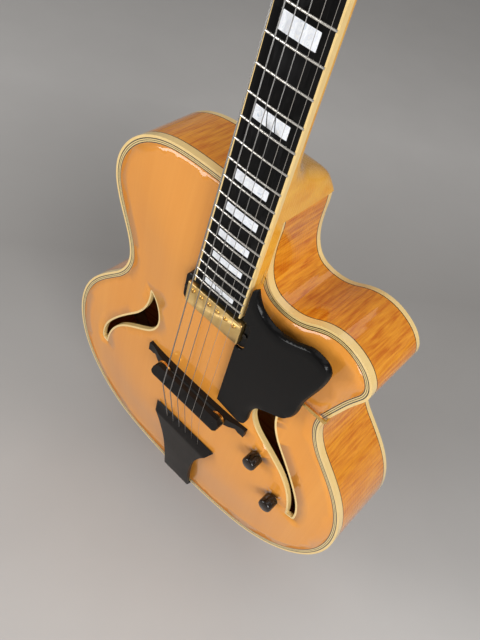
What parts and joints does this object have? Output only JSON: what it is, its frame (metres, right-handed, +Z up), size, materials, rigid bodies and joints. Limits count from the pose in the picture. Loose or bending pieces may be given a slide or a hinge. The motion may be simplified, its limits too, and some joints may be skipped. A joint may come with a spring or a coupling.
{
  "type": "archtop guitar",
  "caption": "Hollow archtop guitar with a rounded cutaway, carved arched top, floating bridge, tailpiece and pickguard, a neck pickup and geared tuners.",
  "frame": {"origin": "the tail end of the rim, on the centreline and the end jack's axis, where a stand carries the body", "axes": "+Z up the body towards the head, the carved top faces -Y, +X to the treble side"},
  "size_m": [0.4104, 0.1437, 1.0381],
  "materials": {
    "spruce": "gloss lacquer",
    "maple": "gloss lacquer",
    "ebony": "polished",
    "inner_wood": "bare",
    "cream_binding": "gloss",
    "purfling": "gloss",
    "pearl": "pearly",
    "bone": "polished",
    "nickel": "polished",
    "gold": "gold plate",
    "string_steel": "wound and plain",
    "black_plastic": "gloss"
  },
  "bodies": {
    "guitar": {"top_plate": "spruce", "back_plate": "maple", "sides": "maple", "top_binding": "cream_binding", "back_binding": "cream_binding", "top_purfling": "purfling", "linings": "inner_wood", "neck_block": "inner_wood", "tail_block": "inner_wood", "tone_bars": "inner_wood", "soundhole_bindings": "cream_binding", "neck": "maple", "heel_cap": "cream_binding", "fretboard": "ebony", "fretboard_binding": "cream_binding", "frets": "nickel", "fret_inlays": "pearl", "nut": "bone", "headstock_veneer": "ebony", "truss_rod": "nickel", "truss_rod_cover": "ebony", "tuner_bushings": "gold", "tuner_housings": "gold", "bridge_base": "ebony", "bridge_studs": "gold", "tailpiece": "ebony", "tailpiece_hanger": "gold", "pickup_cover": "gold", "pickup_ring": "ebony", "pickup_poles": "gold", "pickup_screws": "nickel", "pickguard": "ebony", "pickguard_bracket": "gold", "pots": "nickel", "output_jack": "gold", "string_1": "string_steel", "string_2": "string_steel", "string_3": "string_steel", "string_4": "string_steel", "string_5": "string_steel", "string_6": "string_steel"},
    "saddle": {"bridge_saddle": "ebony"},
    "bass_wheel": {"thumbwheel_bass": "gold"},
    "treble_wheel": {"thumbwheel_treble": "gold"},
    "volume_control": {"knob_volume": "ebony", "pot_shaft_volume": "nickel"},
    "tone_control": {"knob_tone": "ebony", "pot_shaft_tone": "nickel"},
    "post_1": {"string_post_1": "gold"},
    "button_1": {"tuner_button_1": "gold"},
    "post_2": {"string_post_2": "gold"},
    "button_2": {"tuner_button_2": "gold"},
    "post_3": {"string_post_3": "gold"},
    "button_3": {"tuner_button_3": "gold"},
    "post_4": {"string_post_4": "gold"},
    "button_4": {"tuner_button_4": "gold"},
    "post_5": {"string_post_5": "gold"},
    "button_5": {"tuner_button_5": "gold"},
    "post_6": {"string_post_6": "gold"},
    "button_6": {"tuner_button_6": "gold"}
  },
  "joints": [
    {"name": "saddle_lift", "type": "slide", "parent": "guitar", "child": "saddle", "axis": [0, -1, 0], "range_m": [-0.0008, 0.0024], "deforming": ["string_1", "string_2", "string_3", "string_4", "string_5", "string_6"]},
    {"name": "bass_wheel_turn", "type": "hinge", "parent": "saddle", "child": "bass_wheel", "pos_m": [-0.0402, -0.06, 0.2158], "axis": [0, -1, 0], "range_deg": [-363.6, 1090.8]},
    {"name": "treble_wheel_turn", "type": "hinge", "parent": "saddle", "child": "treble_wheel", "pos_m": [0.0402, -0.06, 0.2158], "axis": [0, -1, 0], "range_deg": [-363.6, 1090.8]},
    {"name": "volume_turn", "type": "hinge", "parent": "guitar", "child": "volume_control", "pos_m": [0.093, -0.05, 0.196], "axis": [0, -1, 0], "range_deg": [0, 300]},
    {"name": "tone_turn", "type": "hinge", "parent": "guitar", "child": "tone_control", "pos_m": [0.1285, -0.05, 0.148], "axis": [0, -1, 0], "range_deg": [0, 300]},
    {"name": "button_1_turn", "type": "hinge", "parent": "guitar", "child": "button_1", "pos_m": [-0.027, 0.00303, 0.906], "axis": [-1, 0, 0], "continuous": true},
    {"name": "post_1_turn", "type": "hinge", "parent": "guitar", "child": "post_1", "pos_m": [-0.027, -0.00343, 0.90188], "axis": [0, -0.9579, 0.2872], "continuous": true},
    {"name": "button_2_turn", "type": "hinge", "parent": "guitar", "child": "button_2", "pos_m": [-0.027, 0.01451, 0.94432], "axis": [-1, 0, 0], "continuous": true},
    {"name": "post_2_turn", "type": "hinge", "parent": "guitar", "child": "post_2", "pos_m": [-0.027, 0.00806, 0.9402], "axis": [0, -0.9579, 0.2872], "continuous": true},
    {"name": "button_3_turn", "type": "hinge", "parent": "guitar", "child": "button_3", "pos_m": [-0.027, 0.026, 0.98263], "axis": [-1, 0, 0], "continuous": true},
    {"name": "post_3_turn", "type": "hinge", "parent": "guitar", "child": "post_3", "pos_m": [-0.027, 0.01955, 0.97851], "axis": [0, -0.9579, 0.2872], "continuous": true},
    {"name": "button_4_turn", "type": "hinge", "parent": "guitar", "child": "button_4", "pos_m": [0.027, 0.02267, 0.97152], "axis": [1, 0, 0], "continuous": true},
    {"name": "post_4_turn", "type": "hinge", "parent": "guitar", "child": "post_4", "pos_m": [0.027, 0.01955, 0.97851], "axis": [0, -0.9579, 0.2872], "continuous": true},
    {"name": "button_5_turn", "type": "hinge", "parent": "guitar", "child": "button_5", "pos_m": [0.027, 0.01118, 0.93321], "axis": [1, 0, 0], "continuous": true},
    {"name": "post_5_turn", "type": "hinge", "parent": "guitar", "child": "post_5", "pos_m": [0.027, 0.00806, 0.9402], "axis": [0, -0.9579, 0.2872], "continuous": true},
    {"name": "button_6_turn", "type": "hinge", "parent": "guitar", "child": "button_6", "pos_m": [0.027, -0.0003, 0.89489], "axis": [1, 0, 0], "continuous": true},
    {"name": "post_6_turn", "type": "hinge", "parent": "guitar", "child": "post_6", "pos_m": [0.027, -0.00343, 0.90188], "axis": [0, -0.9579, 0.2872], "continuous": true}
  ],
  "couplings": [
    {"joint": "bass_wheel_turn", "follows": "saddle_lift", "rad_per_m": 7854},
    {"joint": "treble_wheel_turn", "follows": "saddle_lift", "rad_per_m": 7854},
    {"joint": "post_1_turn", "follows": "button_1_turn", "ratio": 0.055556},
    {"joint": "post_2_turn", "follows": "button_2_turn", "ratio": 0.055556},
    {"joint": "post_3_turn", "follows": "button_3_turn", "ratio": 0.055556},
    {"joint": "post_4_turn", "follows": "button_4_turn", "ratio": 0.055556},
    {"joint": "post_5_turn", "follows": "button_5_turn", "ratio": 0.055556},
    {"joint": "post_6_turn", "follows": "button_6_turn", "ratio": 0.055556}
  ]
}
